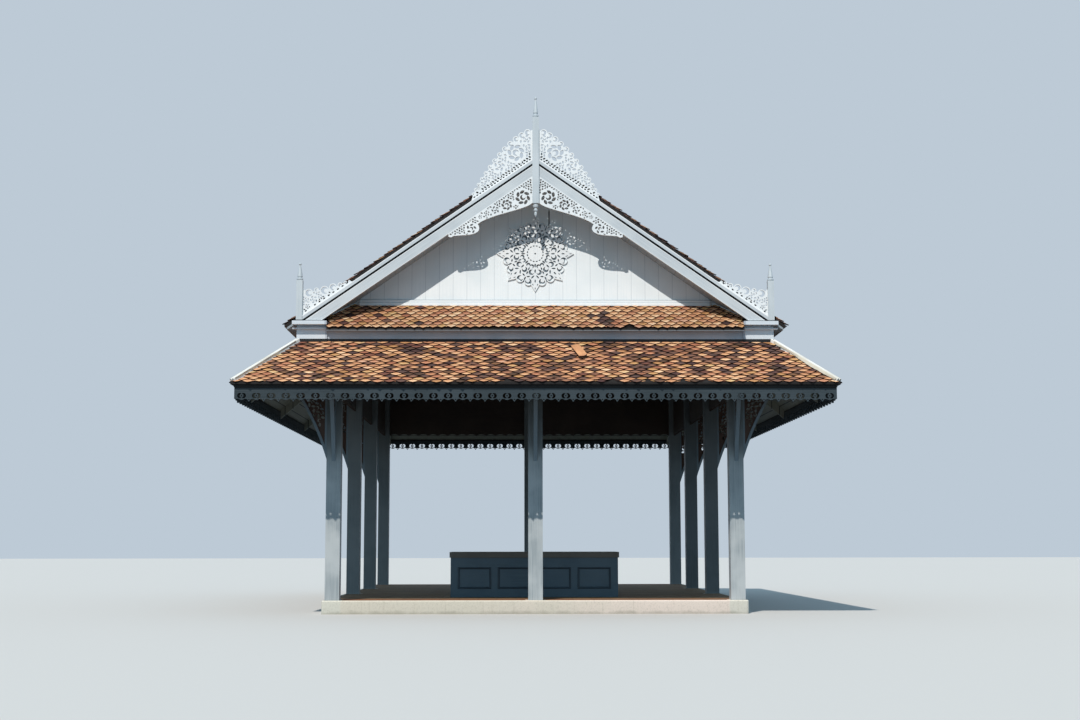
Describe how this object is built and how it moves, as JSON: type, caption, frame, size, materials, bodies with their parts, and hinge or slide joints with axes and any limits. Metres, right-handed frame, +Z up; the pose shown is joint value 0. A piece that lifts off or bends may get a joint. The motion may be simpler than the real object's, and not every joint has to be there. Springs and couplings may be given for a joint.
{
  "type": "garden pavilion",
  "caption": "Open garden pavilion: square posts on a low plinth, hipped tiled skirt roof with a pierced fringe, gabled roof with fretwork.",
  "frame": {"origin": "middle of the plinth's underside, on the ground", "axes": "-Y out of the front gable, +X to the right seen from the front, +Z up; the ridge runs along Y"},
  "size_m": [6.0928, 8.1928, 5.379],
  "materials": {
    "concrete": "matt cast concrete, cream limewash worn thin",
    "terracotta_paving": "unglazed clay tiles, matt",
    "post_paint": "pale blue-grey paint, satin",
    "bracket_paint": "blue-grey rim paint over red-brown boards, matt",
    "valance_stain": "red-brown stain, matt",
    "dark_timber": "bare weathered timber, matt",
    "clay_tile": "plain clay tiles, mixed orange and brown, matt",
    "cap_mortar": "white painted mortar, matt",
    "fringe_paint": "slate blue-grey paint, satin",
    "frieze_paint": "pale blue-grey paint, satin",
    "white_paint": "white paint, satin",
    "bench_paint": "dark slate-blue paint, satin"
  },
  "bodies": {
    "root": {"plinth": "concrete", "floor_paving": "terracotta_paving", "post_front_left": "post_paint", "post_front_middle": "post_paint", "post_front_right": "post_paint", "post_left_front": "post_paint", "post_left_back": "post_paint", "post_right_front": "post_paint", "post_right_back": "post_paint", "post_back_left": "post_paint", "post_back_middle": "post_paint", "post_back_right": "post_paint", "brackets_front": "bracket_paint", "brackets_right": "bracket_paint", "brackets_back": "bracket_paint", "brackets_left": "bracket_paint", "valance_front": "valance_stain", "valance_right": "valance_stain", "valance_back": "valance_stain", "valance_left": "valance_stain", "wall_plates": "dark_timber", "roof_trusses": "dark_timber", "ridge_beam": "dark_timber", "skirt_roof_front": "clay_tile", "skirt_roof_right": "clay_tile", "skirt_roof_back": "clay_tile", "skirt_roof_left": "clay_tile", "hip_rafters": "dark_timber", "hip_caps": "cap_mortar", "fringe_front": "fringe_paint", "fringe_right": "fringe_paint", "fringe_back": "fringe_paint", "fringe_left": "fringe_paint", "frieze_front": "frieze_paint", "frieze_right": "frieze_paint", "frieze_back": "frieze_paint", "frieze_left": "frieze_paint", "foot_roof_front": "clay_tile", "foot_roof_back": "clay_tile", "gable_wall_front": "white_paint", "gable_wall_back": "white_paint", "gable_stars": "white_paint", "main_roof_left": "clay_tile", "main_roof_right": "clay_tile", "ridge_cap": "cap_mortar", "bargeboards_front": "frieze_paint", "bargeboards_back": "frieze_paint", "king_posts": "white_paint", "finial_posts": "frieze_paint", "crest_fretwork": "white_paint", "barge_fretwork": "white_paint", "wing_fretwork": "white_paint", "bench_body": "bench_paint", "bench_lid": "bench_paint"}
  },
  "joints": []
}
